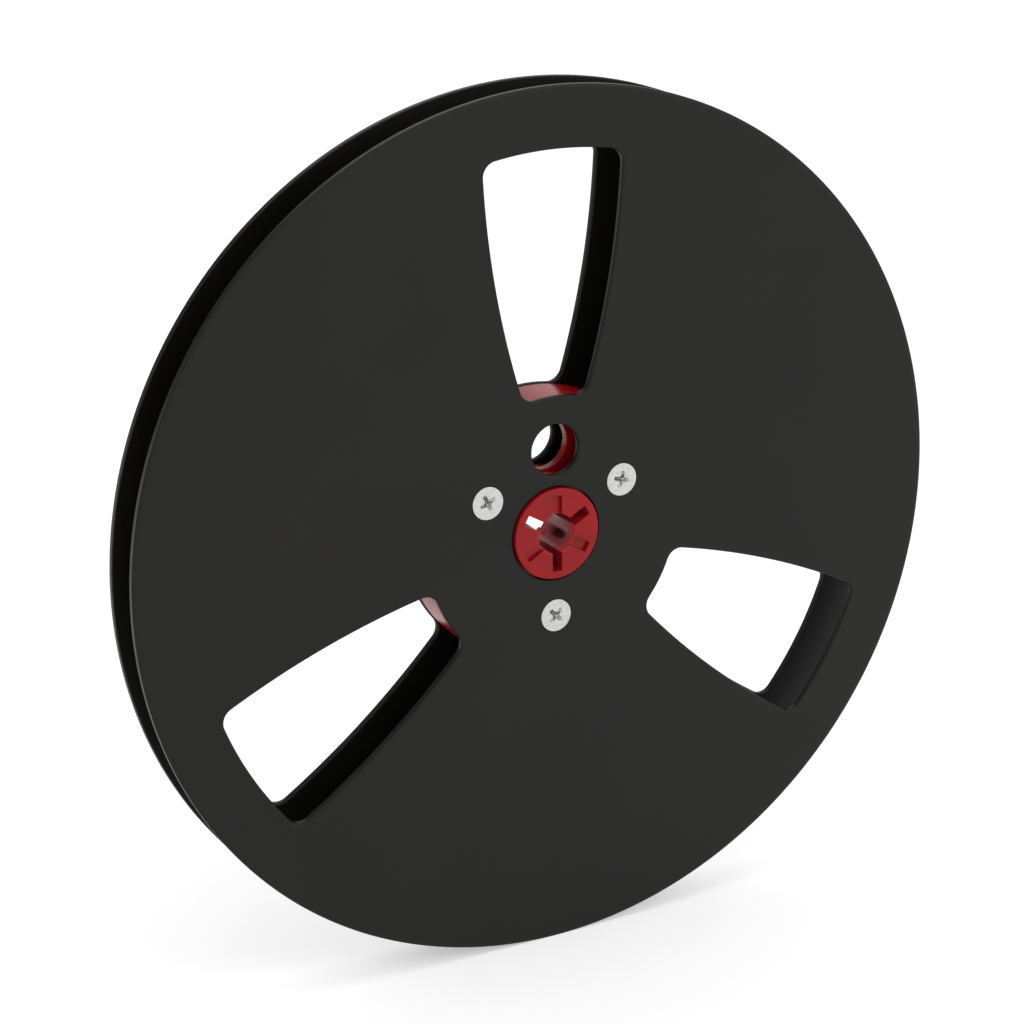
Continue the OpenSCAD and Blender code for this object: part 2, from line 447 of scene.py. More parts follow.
def new_material(name):
    """A bare node material. Returns it, its tree and each point's own place on the piece."""
    material = bpy.data.materials.new(name)
    material.use_nodes = True
    tree = material.node_tree
    tree.nodes.clear()
    place = add(tree, "ShaderNodeTexCoord").outputs["Object"]
    return material, tree, place


def show(tree, surface):
    output = add(tree, "ShaderNodeOutputMaterial")
    feed(tree, output.inputs["Surface"], surface)


def cloud(tree, place, scale, detail=2.0, roughness=0.5):
    """Soft random patches, with so many of them to a metre."""
    return add(
        tree, "ShaderNodeTexNoise", Vector=place,
        Scale=float(scale), Detail=detail, Roughness=roughness,
    )


def spread(tree, value, span, new_span):
    """Stretches a value from one span to another, and holds it inside."""
    node = add(tree, "ShaderNodeMapRange", Value=value)
    for name, number in zip(("From Min", "From Max", "To Min", "To Max"), (*span, *new_span)):
        node.inputs[name].default_value = number
    return node


def blend_colour(tree, share, first, second):
    """The first colour where the share is nothing, and the second where it is one. A Mix node
    for colours takes the share in socket 0 and the colours in 6 and 7, and gives output 2."""
    node = add(tree, "ShaderNodeMix", {"data_type": "RGBA"})
    feed(tree, node.inputs[0], share)
    feed(tree, node.inputs[6], first)
    feed(tree, node.inputs[7], second)
    return node.outputs[2]


# What the finishes share: the height of their finest grain, how strongly the plastics mirror,
# the spans of a cloud's values that give soft or firm patches, and the two ways a share runs
grain_height = 0.02 * mm
plastic_mirroring = 0.24
cloud_span = (0.3, 0.7)
firm_span = (0.35, 0.65)
rising = (0.0, 1.0)
falling = (1.0, 0.0)


def black_moulding():
    """Black plastic with the matt skin of an etched mould, and here and there a speck of dust."""
    material, tree, place = new_material("black_moulding")
    deep = (0.0038, 0.0032, 0.0026, 1)
    lighter_tone = (0.0050, 0.0044, 0.0036, 1)
    dusty = (0.05, 0.05, 0.047, 1)
    specks_a_metre = 160.0
    speck_edge = (0.012, 0.03)
    without_speck = 0.93
    roughness = (0.40, 0.45)
    patches = spread(tree, cloud(tree, place, scale=45, detail=3.0), firm_span, rising)
    tone = blend_colour(tree, patches, deep, lighter_tone)
    specks = add(
        tree, "ShaderNodeTexVoronoi", {"feature": "F1"}, Vector=place, Scale=specks_a_metre
    )
    dot = spread(tree, specks.outputs["Distance"], speck_edge, falling)
    chosen = add(tree, "ShaderNodeSeparateColor", Color=specks.outputs["Color"])
    few = sums(tree, "GREATER_THAN", chosen.outputs[0], without_speck)
    dust = sums(tree, "MULTIPLY", dot, few)
    colour = blend_colour(tree, dust, tone, dusty)
    skin = cloud(tree, place, scale=5200, detail=2.0, roughness=0.6)
    grain = add(tree, "ShaderNodeBump", Strength=0.35, Distance=grain_height, Height=skin)
    gloss = spread(tree, cloud(tree, place, scale=700, detail=4.0), cloud_span, roughness)
    surface = add(
        tree, "ShaderNodeBsdfPrincipled",
        Base_Color=colour, Roughness=gloss, Normal=grain, Specular_IOR_Level=plastic_mirroring,
    )
    show(tree, surface)
    return material


flange_rule = flange_tree(black_moulding())
for flange_name, half_turn in (("front_flange", 0), ("rear_flange", pi)):
    disc_name = flange_name + "_disc"
    flange_mesh = grown(disc_name, flange_rule, standing(FLANGE_SIZES, half_turn))
    flange = finished(disc_name, flange_mesh, crease=radians(40))
    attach(flange, "root")
    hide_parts(flange_name)

# Hub
# One glossy red moulding between the flanges. The tape is wound on its outer wall, and its boss
# comes through both flanges. The boss holds the spindle bore with three key slots right through
# and three shallow lock recesses in each end. Ribs carry the posts that the screws bite into.

_, hub_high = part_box("hub")
boss_face = hub_high.y
hub_r = 28 * mm
hub_wall = 2.2 * mm
hub_edge = 0.2 * mm
web_t = 1.8 * mm
boss_r = 9.4 * mm
boss_edge = 0.25 * mm
collar_r = 11.45 * mm
collar_edge = 0.1 * mm
bore_r = 4.15 * mm
slot_half = 1.05 * mm
slot_reach = 7.9 * mm
slot_corner_r = 0.2 * mm
slot_edge = 0.1 * mm
bore_draft = 0.14 * mm
parting_land = 0.3 * mm
recess_floor = boss_face - 0.8 * mm
first_slot_turn = first_screw_turn
slot_count = 6
post_r = 4.2 * mm
rib_t = 1.6 * mm
rib_start_r = boss_r + 0.5 * mm
rib_below_flange = 0.2 * mm
web_hole_r = finger_hole_r + 0.15 * mm
web_hole_edge = 0.15 * mm
pilot_r = 1.8 * mm

# A cutting tool runs this far past the faces that it opens
past = 1 * mm


def polar(radius, turn):
    return Vector((radius * cos(turn), radius * sin(turn)))


def stood_up(mesh):
    """Turns a mesh from the bench position to the standing one."""
    mesh.transform(Matrix.Rotation(pi / 2, 4, "X"))
    return mesh


def ring(solid, points, height):
    """A closed row of corners at one height."""
    return [solid.verts.new((x, y, height)) for x, y in points]


def wall(solid, lower, upper):
    """A band of faces between two rows with as many corners."""
    count = len(lower)
    for i in range(count):
        j = (i + 1) % count
        solid.faces.new((lower[i], lower[j], upper[j], upper[i]))


def walls(solid, rows):
    for lower, upper in zip(rows, rows[1:]):
        wall(solid, lower, upper)


def cover(solid, *rows):
    """A flat face bounded by one row, or by an outer row and holes."""
    edges = [solid.edges.get((row[i - 1], row[i])) for row in rows for i in range(len(row))]
    bmesh.ops.triangle_fill(solid, use_beauty=True, edges=edges)


def round_points(radius, steps):
    """Corners evenly spaced on a circle, the first one on +X."""
    return [polar(radius, 2 * pi * i / steps) for i in range(steps)]


def turned(solid, profile, steps, centre=Vector((0, 0))):
    """A lathe-turned skin from (radius, height) pairs. Returns its first and last rows."""
    rows = []
    for radius, height in profile:
        points = [centre + point for point in round_points(radius, steps)]
        rows.append(ring(solid, points, height))
    walls(solid, rows)
    return rows[0], rows[-1]


def rounded(corner_r, corner_h, radius, span, steps):
    """A quarter-round corner of a profile, from one turn to another."""
    first, last = span
    turns = [first + (last - first) * i / steps for i in range(steps + 1)]
    return [(corner_r + radius * cos(t), corner_h + radius * sin(t)) for t in turns]


def slotted_bore(extra, with_recesses):
    """The bore with its slots and recesses, which take turns, seen along the axis and widened
    all round by extra. Returns the points and, for each mouth, its two places in the list."""
    corner_steps = 4
    mouth_steps = 6
    land_steps = 8
    points = []
    mouths = []
    radius = bore_r + extra
    half = slot_half + extra
    mouth = asin(half / radius)
    gap = 2 * pi / slot_count - 2 * mouth
    for k in range(slot_count):
        turn = first_slot_turn + k * 2 * pi / slot_count
        along = polar(1, turn)
        across = polar(1, turn + pi / 2)
        start = len(points)
        points.append(polar(radius, turn - mouth))
        if k % 2 == 0 or with_recesses:
            out = along * (slot_reach + extra - slot_corner_r)
            for low in (-1, 1):
                corner = out + across * low * (half - slot_corner_r)
                for i in range(corner_steps + 1):
                    bend = turn + low * pi / 4 + (i - corner_steps / 2) * pi / 2 / corner_steps
                    points.append(corner + polar(slot_corner_r, bend))
        else:
            for i in range(1, mouth_steps):
                points.append(polar(radius, turn - mouth + 2 * mouth * i / mouth_steps))
        points.append(polar(radius, turn + mouth))
        mouths.append((start, len(points) - 1))
        for i in range(1, land_steps):
            points.append(polar(radius, turn + mouth + gap * i / land_steps))
    return points, mouths


def bored_skin(solid, side):
    """The walls of bore and slots from one end of the boss to its recess floors.
    Returns the row at the end face and the row that goes on below the floors."""
    edge_steps = 4
    rows = []
    for i in range(edge_steps + 1):
        turn = pi / 2 * (1 - i / edge_steps)
        points, mouths = slotted_bore(slot_edge * (1 - cos(turn)), True)
        rows.append(ring(solid, points, side * (boss_face - slot_edge * (1 - sin(turn)))))
    points, mouths = slotted_bore(0, True)
    rows.append(ring(solid, points, side * recess_floor))
    walls(solid, rows)
    deep_points, deep_mouths = slotted_bore(0, False)
    floor_row = rows[-1]
    starts = [start for start, _ in mouths[1:]] + [len(points)]
    deep_row = [None] * len(deep_points)
    for k, (wide, narrow, following) in enumerate(zip(mouths, deep_mouths, starts)):
        for i in range(following - wide[1]):
            deep_row[narrow[1] + i] = floor_row[wide[1] + i]
        deep_row[narrow[0]] = floor_row[wide[0]]
        if k % 2 == 0:
            for i in range(wide[1] - wide[0]):
                deep_row[narrow[0] + i] = floor_row[wide[0] + i]
            continue
        for i in range(narrow[0] + 1, narrow[1]):
            deep_row[i] = solid.verts.new((*deep_points[i], side * recess_floor))
        outline = floor_row[wide[0]:wide[1] + 1]
        solid.faces.new(outline + deep_row[narrow[0] + 1:narrow[1]][::-1])
    return rows[0], deep_row


def hub_body():
    """Boss, collar, web and winding wall, as one turned and bored solid. The bore and its slots
    narrow a little from both ends, so that the mould's pins can be drawn."""
    lathe_steps = 240
    high = inner_face
    web = web_t / 2
    wall_in_r = hub_r - hub_wall
    upper = rounded(boss_r - boss_edge, boss_face - boss_edge, boss_edge, (pi / 2, 0), steps=6)
    upper += [(boss_r, high)]
    upper += rounded(
        collar_r - collar_edge, high - collar_edge, collar_edge, (pi / 2, 0), steps=3
    )
    upper += [(collar_r, web), (wall_in_r, web)]
    upper += rounded(wall_in_r + hub_edge, high - hub_edge, hub_edge, (pi, pi / 2), steps=4)
    upper += rounded(hub_r - hub_edge, high - hub_edge, hub_edge, (pi / 2, 0), steps=4)
    lower = [(radius, -height) for radius, height in reversed(upper)]
    solid = bmesh.new()
    top_rim, bottom_rim = turned(solid, upper + lower, lathe_steps)
    front_row, front_deep = bored_skin(solid, 1)
    rear_row, rear_deep = bored_skin(solid, -1)
    drafted, _ = slotted_bore(-bore_draft, False)
    front_land = ring(solid, drafted, parting_land)
    rear_land = ring(solid, drafted, -parting_land)
    walls(solid, [front_deep, front_land, rear_land, rear_deep])
    cover(solid, top_rim, front_row)
    cover(solid, bottom_rim, rear_row)
    return solid


def solid_mesh(solid, name):
    """The mesh of a finished solid, with its faces outwards."""
    bmesh.ops.recalc_face_normals(solid, faces=solid.faces)
    mesh = bpy.data.meshes.new(name)
    solid.to_mesh(mesh)
    solid.free()
    return mesh


def rod(name, profile, centre, steps=96):
    """A closed turned solid that stands at a place on the bench."""
    solid = bmesh.new()
    for row in turned(solid, profile, steps, centre):
        cover(solid, row)
    return new_object(name, solid_mesh(solid, name))


def rib(name, turn):
    """A straight rib from the collar through a screw post into the winding wall."""
    solid = bmesh.new()
    along = polar(1, turn)
    across = polar(rib_t / 2, turn + pi / 2)
    near = along * rib_start_r
    far = along * (hub_r - hub_wall / 2)
    corners = [near - across, far - across, far + across, near + across]
    high = inner_face - rib_below_flange
    rows = [ring(solid, corners, height) for height in (-high, high)]
    wall(solid, *rows)
    for row in rows:
        cover(solid, row)
    return new_object(name, solid_mesh(solid, name))


def carved(base, added, removed):
    """A solid with others joined to it and then cut out of it, as a plain mesh."""
    for operation, tools in (("UNION", added), ("DIFFERENCE", removed)):
        for tool in tools:
            cut = base.modifiers.new(tool.name, "BOOLEAN")
            cut.operation = operation
            cut.solver = "EXACT"
            cut.object = tool
    mesh = plain_mesh(base, base.name + "_carved")
    for thing in (base, *added, *removed):
        bpy.data.objects.remove(thing)
    return mesh


def web_hole_tool():
    """What cuts the finger hole in the web, flared at both mouths and a little past them."""
    flare_steps = 6
    hair = 0.01 * mm
    web = web_t / 2
    flare = []
    for i in range(flare_steps):
        turn = pi / 2 * i / flare_steps
        wider = web_hole_edge * (1 - cos(turn))
        flare.append((web_hole_r + wider, web - web_hole_edge * (1 - sin(turn))))
    mouth_r = web_hole_r + web_hole_edge + hair
    flare.append((mouth_r, web + 2 * hair))
    flare.append((mouth_r, web + past))
    profile = [(radius, -height) for radius, height in reversed(flare)] + flare
    return rod("web_hole", profile, Vector((0, finger_hole_at)), 128)


def hub_mesh():
    """The whole hub, lying on the bench, with posts and ribs joined on and its holes cut."""
    low = -inner_face
    high = inner_face
    cone_r = countersink_r - (flange_t - countersink_land)
    down = cone_r - pilot_r
    pilot = [
        (cone_r + past, low - past), (pilot_r, low + down),
        (pilot_r, high - down), (cone_r + past, high + past),
    ]
    posts = []
    pilots = []
    for k in range(3):
        turn = first_screw_turn + k * third
        spot = polar(screw_circle_r, turn)
        posts.append(rod(f"post_{k}", [(post_r, low), (post_r, high)], spot))
        posts.append(rib(f"rib_{k}", turn))
        pilots.append(rod(f"pilot_{k}", pilot, spot, 64))
    web_hole = web_hole_tool()
    body = new_object("hub_body", solid_mesh(hub_body(), "hub_body"))
    return carved(body, posts, [web_hole, *pilots])


def middle_of_land(tree, height, from_axis):
    """How near a point of the bore lies to the middle line of its land: one there, and minus
    one at a key slot. It is the cosine of three times the turn away from that line."""
    sine = sums(tree, "DIVIDE", height, from_axis)
    cubed = sums(tree, "MULTIPLY", sums(tree, "POWER", sine, 3.0), 4.0)
    return sums(tree, "SUBTRACT", cubed, sums(tree, "MULTIPLY", sine, 3.0))


def red_moulding():
    """Red plastic, coloured through, with the soft shine of a polished mould. The bore's colour is
    painted light and shade: painted light at its mouths, a purplish painted sheen deeper in and
    beside its slots, and a dark painted reflection in the middle of each land, fainter towards the
    rear, with a pale painted highlight round it. The slots' walls are duller: no polish reached
    them."""
    material, tree, place = new_material("red_moulding")
    deep = (0.275, 0.0040, 0.0070, 1)
    bright = (0.345, 0.0035, 0.0075, 1)
    # Painted light at the bore's mouths, and a purplish painted sheen deeper in the bore
    painted_mouth_light = (0.50, 0.035, 0.045, 1)
    painted_sheen = (0.36, 0.050, 0.065, 1)
    # A pale painted highlight, laid in a ring round the dark painted reflection
    painted_rim_highlight = (0.50, 0.19, 0.21, 1)
    # A dark painted reflection, laid in the middle of each land of the bore
    painted_dark_reflection = (0.07, 0.002, 0.004, 1)
    ragged_length = 1.2 * mm
    sheen_to = 4.3 * mm
    mouth_light_from = 5.6 * mm
    reflection_length = 4.6 * mm
    reflection_taper = 4.0
    off_land_limit = 0.5
    reflection_edge = (0.2, 1.15)
    reflection_full_to = 0.2 * mm
    reflection_faint_from = 2.6 * mm
    faint_reflection = 0.4
    highlight_edge = (1.0, 1.6)
    highlight_share = 0.3
    bore_skin = (bore_r + 0.05 * mm, bore_r + 0.12 * mm)
    roughness = (0.24, 0.32)
    polished = 0.5
    slot_roughness = 0.6
    slot_depths = (recess_floor - 0.1 * mm, recess_floor)
    slot_end = (slot_reach + 0.1 * mm, slot_reach + 0.2 * mm)
    patches = spread(tree, cloud(tree, place, scale=150, detail=3.0), (0.38, 0.62), rising)
    new = blend_colour(tree, patches, deep, bright)
    skin = cloud(tree, place, scale=2600, detail=3.0, roughness=0.55)
    grain = add(tree, "ShaderNodeBump", Strength=0.10, Distance=grain_height, Height=skin)
    parts = add(tree, "ShaderNodeSeparateXYZ", Vector=place)
    flat = vector(tree, parts.outputs["X"], parts.outputs["Z"])
    length = add(tree, "ShaderNodeVectorMath", {"operation": "LENGTH"}, Vector=flat)
    from_axis = length.outputs["Value"]
    from_middle = sums(tree, "ABSOLUTE", parts.outputs["Y"])
    ragged_offset = sums(tree, "MULTIPLY", cloud(tree, place, scale=500, detail=3.0), ragged_length)
    reach = sums(tree, "ADD", from_middle, ragged_offset)
    inward = spread(tree, reach, (sheen_to, mouth_light_from), falling)
    lengthwise = sums(tree, "POWER", sums(tree, "DIVIDE", reach, reflection_length), reflection_taper)
    off_land = sums(tree, "SUBTRACT", 1.0, middle_of_land(tree, parts.outputs["Z"], from_axis))
    outwards = sums(tree, "ADD", lengthwise, sums(tree, "DIVIDE", off_land, off_land_limit))
    rearwards = (reflection_full_to, reflection_faint_from)
    fading_rearwards = spread(tree, parts.outputs["Y"], rearwards, (1.0, faint_reflection))
    # Where the dark painted reflection lies: the middle of each land, fainter towards the rear
    reflection_share = sums(tree, "MULTIPLY", spread(tree, outwards, reflection_edge, falling), fading_rearwards)
    # A ring of pale painted highlight just outside the dark painted reflection
    highlight_ring = spread(tree, outwards, highlight_edge, (highlight_share, 0.0))
    # The bore's colour: painted light at the mouths, painted sheen deeper in
    lighter_tone = blend_colour(tree, inward, painted_mouth_light, painted_sheen)
    with_rim_highlight = blend_colour(tree, highlight_ring, lighter_tone, painted_rim_highlight)
    bore_painted = blend_colour(tree, reflection_share, with_rim_highlight, painted_dark_reflection)
    in_bore = spread(tree, from_axis, bore_skin, falling)
    colour = blend_colour(tree, in_bore, new, bore_painted)
    satin = spread(tree, cloud(tree, place, scale=700, detail=3.0), cloud_span, roughness)
    polish = sums(tree, "MULTIPLY", reflection_share, in_bore)
    shine = sums(tree, "MULTIPLY", satin, spread(tree, polish, rising, (1.0, polished)))
    below = spread(tree, from_middle, slot_depths, falling)
    within = spread(tree, from_axis, slot_end, falling)
    in_slot = sums(tree, "MULTIPLY", sums(tree, "MULTIPLY", below, within), slot_roughness)
    dull = sums(tree, "SUBTRACT", in_slot, in_bore)
    gloss = sums(tree, "MAXIMUM", shine, dull)
    surface = add(
        tree, "ShaderNodeBsdfPrincipled",
        Base_Color=colour, Roughness=gloss, Normal=grain, Specular_IOR_Level=plastic_mirroring,
    )
    show(tree, surface)
    return material


hub_shape = stood_up(hub_mesh())
hub_shape.materials.clear()
hub_shape.materials.append(red_moulding())
hub = finished("hub_moulding", hub_shape, crease=radians(32))
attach(hub, "root")
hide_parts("hub")

# Screws
# Six zinc-plated countersunk screws with a cross recess, three from each side, flush in the
# flanges' countersinks. They bite into the hub's posts and were driven home by hand, so the
# three crosses of a side stopped at turns of their own. Both sides are alike.

head_r = 3.37 * mm
head_land = 0.15 * mm
head_edge = 0.07 * mm
shank_r = 1.75 * mm
screw_l = 5.3 * mm
screw_steps = 72
thread_pitch = 0.7 * mm
thread_depth = 0.28 * mm
thread_gap = 0.15 * mm
tip_l = 0.35 * mm
tip_bevel = 0.3 * mm
cross_reach = 1.85 * mm
cross_half = 0.43 * mm
cross_depth = 1.0 * mm
cross_turn_right = radians(75)
cross_turn_left = radians(26)
cross_turn_bottom = radians(46)
SCREW_SIZES = {
    "Screw circle radius": screw_circle_r,
    "Head face": outer_face,
    "Right cross turn": cross_turn_right - first_screw_turn,
    "Left cross turn": cross_turn_left - first_screw_turn - third,
    "Bottom cross turn": cross_turn_bottom - first_screw_turn - 2 * third,
}

# A blade of the driver's cross from above the head's face down: height, half length, half width
BLADE_SECTIONS = (
    (0.4 * mm, cross_reach + 0.2 * mm, cross_half + 0.16 * mm),
    (0.0, cross_reach + 0.03 * mm, cross_half + 0.04 * mm),
    (-0.06 * mm, cross_reach - 0.04 * mm, cross_half - 0.02 * mm),
    (-0.35 * mm, 0.80 * cross_reach, 0.78 * cross_half),
    (-0.75 * cross_depth, 0.52 * cross_reach, 0.62 * cross_half),
    (-cross_depth, 0.26 * cross_reach, 0.50 * cross_half),
)

# The pointed pit where the blades cross: radius and height
PIT_PROFILE = (
    (0.95 * mm, 0.3 * mm),
    (0.80 * mm, -0.1 * mm),
    (0.50 * mm, -0.45 * mm),
    (0.25 * mm, -cross_depth),
    (0.05 * mm, -cross_depth * 1.1),
)


def thread_height(turn, depth):
    """How far the thread stands out of its core, as a share, at a turn and depth of the screw."""
    flank = 0.42
    flat_crest = 1.25
    climb = (depth / thread_pitch - turn / (2 * pi)) % 1
    crest = max(0.0, 1 - abs(climb - 0.5) / flank)
    return min(1.0, crest * flat_crest)


def screw_body():
    """A screw with its face at height zero, its edge, cone and thread."""
    solid = bmesh.new()
    cone_end = head_land + head_r - shank_r
    profile = rounded(head_r - head_edge, -head_edge, head_edge, (pi / 2, 0), steps=4)
    profile += [(head_r, -head_land), (shank_r, -cone_end)]
    rows = [ring(solid, round_points(radius, screw_steps), height) for radius, height in profile]
    thread_start = cone_end + thread_gap
    thread_end = screw_l - tip_l
    thread_rows = 44
    run_out = 6
    for n in range(thread_rows + 1):
        depth = thread_start + (thread_end - thread_start) * n / thread_rows
        ease = min(1.0, n / run_out, (thread_rows - n) / run_out)
        points = []
        for i in range(screw_steps):
            turn = 2 * pi * i / screw_steps
            radius = shank_r - thread_depth * (1 - ease * thread_height(turn, depth))
            points.append(polar(radius, turn))
        rows.append(ring(solid, points, -depth))
    tip_r = shank_r - thread_depth - tip_bevel
    rows.append(ring(solid, round_points(tip_r, screw_steps), -screw_l))
    walls(solid, rows)
    cover(solid, rows[0])
    cover(solid, rows[-1])
    return new_object("screw_body", solid_mesh(solid, "screw_body"))


def cross_blade(name, turn):
    """One tapered blade of the driver's cross, a little wider at the head's face."""
    end_steps = 4
    solid = bmesh.new()
    spun = Matrix.Rotation(turn, 2)
    rows = []
    for height, reach, half in BLADE_SECTIONS:
        points = []
        for end in (0, pi):
            tip = Vector((cos(end) * (reach - half), 0))
            for i in range(end_steps + 1):
                bend = end + (i - end_steps / 2) * pi / (end_steps + 1)
                points.append(spun @ (tip + polar(half, bend)))
        rows.append(ring(solid, points, height))
    walls(solid, rows)
    cover(solid, rows[0])
    cover(solid, rows[-1])
    return new_object(name, solid_mesh(solid, name))


def screw_mesh():
    """One whole screw, lying on the bench with its face at height zero."""
    blades = [cross_blade("blade_0", 0.0), cross_blade("blade_1", pi / 2)]
    pit = rod("cross_pit", PIT_PROFILE, Vector((0, 0)), 24)
    return carved(screw_body(), [], [*blades, pit])


def screw_tree(material):
    """Three screws on their circle, each with its cross at its own turn."""
    tree, size = new_tree("screws", standing(SCREW_SIZES, 0))
    spots = add(tree, "GeometryNodePoints", Count=3)
    index = add(tree, "GeometryNodeInputIndex")
    turn = sums(tree, "ADD", sums(tree, "MULTIPLY", index, third), first_screw_turn)
    spun = add(tree, "GeometryNodeIndexSwitch", {"data_type": "FLOAT"}, Index=index)
    spun.index_switch_items.new()
    for i, name in enumerate(("Right cross turn", "Left cross turn", "Bottom cross turn")):
        feed(tree, spun.inputs[i + 1], size[name])
    own_turn = sums(tree, "ADD", turn, spun)
    radius = size["Screw circle radius"]
    spot = vector(
        tree,
        sums(tree, "MULTIPLY", sums(tree, "COSINE", turn), radius),
        sums(tree, "MULTIPLY", sums(tree, "SINE", turn), radius),
        size["Head face"],
    )
    placed = add(tree, "GeometryNodeSetPosition", Geometry=spots, Position=spot)
    copies = add(
        tree, "GeometryNodeInstanceOnPoints",
        Points=placed, Instance=size["Geometry"], Rotation=vector(tree, z=own_turn),
    )
    plain = add(tree, "GeometryNodeRealizeInstances", Geometry=copies)
    stood = add(tree, "GeometryNodeTransform", Geometry=plain, Rotation=size["Stand up"])
    return end_tree(tree, stood, material)


def from_nearest_screw(tree, x, z):
    """How far a point lies from the axis of the screw that it belongs to. The two upper screws
    mirror each other, so one place stands for both."""
    aside = sums(tree, "ABSOLUTE", x)
    spots = (polar(screw_circle_r, first_screw_turn), Vector((0, -screw_circle_r)))
    reaches = []
    for spot in spots:
        gap = vector(
            tree, sums(tree, "SUBTRACT", aside, spot.x), sums(tree, "SUBTRACT", z, spot.y)
        )
        reach = add(tree, "ShaderNodeVectorMath", {"operation": "LENGTH"}, Vector=gap)
        reaches.append(reach.outputs["Value"])
    return sums(tree, "MINIMUM", *reaches)


def bright_zinc():
    """Zinc plate: bright and finely matt, with faint turning marks round each head. Down in the
    cross it is shinier, and its colour is darkened with depth as painted shade, darkest at its
    bottom."""
    material, tree, place = new_material("bright_zinc")
    light = (0.62, 0.62, 0.60, 1)
    dull = (0.49, 0.49, 0.475, 1)
    # Painted shade: the plate's colour darkened with depth in the cross recess
    cross_shade = (0.42, 0.415, 0.40, 1)
    deepest_shade = (0.18, 0.177, 0.17, 1)
    shade_depths = (0.05 * mm, 1.1 * mm)
    cross_rim = (1.9 * mm, 2.0 * mm)
    bottom_rim = (0.3 * mm, 0.65 * mm)
    bottom_depths = (0.4 * mm, 0.9 * mm)
    shade_spread = 0.35
    turning_pitch = 0.12 * mm
    turning_depth = 0.12
    roughness = (0.28, 0.40)
    shaded_roughness_share = 0.5
    parts = add(tree, "ShaderNodeSeparateXYZ", Vector=place)
    across = from_nearest_screw(tree, parts.outputs["X"], parts.outputs["Z"])
    depth = sums(tree, "SUBTRACT", outer_face, sums(tree, "ABSOLUTE", parts.outputs["Y"]))
    sunk = spread(tree, depth, shade_depths, rising)
    inside = spread(tree, across, cross_rim, falling)
    # Painted shade: the deeper into the cross, the darker the plate
    painted_shade = sums(tree, "POWER", sums(tree, "MULTIPLY", sunk, inside), shade_spread)
    # Painted shade, darkest at the bottom of the cross
    middle = spread(tree, across, bottom_rim, falling)
    bottom = sums(tree, "MULTIPLY", middle, spread(tree, depth, bottom_depths, rising))
    mottling = cloud(tree, place, scale=2200, detail=3.0, roughness=0.6)
    patches = spread(tree, mottling, firm_span, rising)
    plate = blend_colour(tree, patches, light, dull)
    shaded = blend_colour(tree, painted_shade, plate, cross_shade)
    colour = blend_colour(tree, bottom, shaded, deepest_shade)
    marks = sums(tree, "SINE", sums(tree, "MULTIPLY", across, 2 * pi / turning_pitch))
    pits = cloud(tree, place, scale=5200, detail=3.0, roughness=0.6)
    skin = sums(tree, "ADD", pits, sums(tree, "MULTIPLY", marks, turning_depth))
    grain = add(tree, "ShaderNodeBump", Strength=0.3, Distance=grain_height, Height=skin)
    clean_gloss = spread(
        tree, cloud(tree, place, scale=1800, detail=3.0), cloud_span, roughness
    )
    gloss = sums(tree, "MULTIPLY", clean_gloss, spread(tree, painted_shade, rising, (1.0, shaded_roughness_share)))
    surface = add(
        tree, "ShaderNodeBsdfPrincipled",
        Base_Color=colour, Metallic=0.9, Roughness=gloss, Normal=grain,
    )
    show(tree, surface)
    return material


screw_rule = screw_tree(bright_zinc())
one_screw = screw_mesh()
for side_name, half_turn in (("front", 0), ("rear", pi)):
    group_name = side_name + "_screws"
    screw_sizes = standing(SCREW_SIZES, half_turn)
    screws_mesh = grown(group_name, screw_rule, screw_sizes, one_screw.copy())
    screws = finished(group_name, screws_mesh, crease=radians(35))
    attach(screws, "root")
    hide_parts(*[f"{side_name}_screw_{spot}" for spot in ("right", "left", "bottom")])

# Floor and light
# A plain white floor under the rim, a white world all round it, three large soft lamps, and two
# dark cards that show only in the reel's shiny faces. Camera, mirror and glass rays see floor
# and world at their full white, and the floor keeps the reel's shadow.

floor_z = -flange_r
floor_r = 3.0
floor_skirt = 0.01
floor_white = 0.8
floor_mottle = 0.005
floor_lift = 0.38
world_level = 0.78


def seen_directly(tree):
    """One where a ray comes from the camera, a mirror or glass."""
    path = add(tree, "ShaderNodeLightPath")
    either = sums(
        tree, "MAXIMUM", path.outputs["Is Camera Ray"], path.outputs["Is Glossy Ray"]
    )
    return sums(tree, "MAXIMUM", either, path.outputs["Is Transmission Ray"])


def choose(tree, share, first, second):
    """The first shader where the share is nothing, and the second where it is one."""
    choice = add(tree, "ShaderNodeMixShader")
    for socket, value in zip(choice.inputs, (share, first, second)):
        feed(tree, socket, value)
    return choice


def white_floor():
    """Matt white paint, lifted to full white for the rays that see the floor directly."""
    material, tree, place = new_material("white_floor")
    dull_white = floor_white - floor_mottle
    mottle = spread(tree, cloud(tree, place, scale=30, detail=2.0), cloud_span, rising)
    paint = blend_colour(
        tree, mottle, (floor_white, floor_white, floor_white, 1),
        (dull_white, dull_white, dull_white, 1),
    )
    matt = add(tree, "ShaderNodeBsdfDiffuse", Color=paint)
    lift = add(tree, "ShaderNodeEmission", Strength=floor_lift)
    seen = add(tree, "ShaderNodeAddShader")
    feed(tree, seen.inputs[0], matt)
    feed(tree, seen.inputs[1], lift)
    show(tree, choose(tree, seen_directly(tree), matt, seen))
    return material


floor_solid = bmesh.new()
floor_profile = [(floor_r, floor_z), (floor_r, floor_z - floor_skirt)]
floor_edge, _ = turned(floor_solid, floor_profile, 96)
cover(floor_solid, floor_edge)
floor = new_object("studio_floor", solid_mesh(floor_solid, "studio_floor"))
floor.data.materials.append(white_floor())

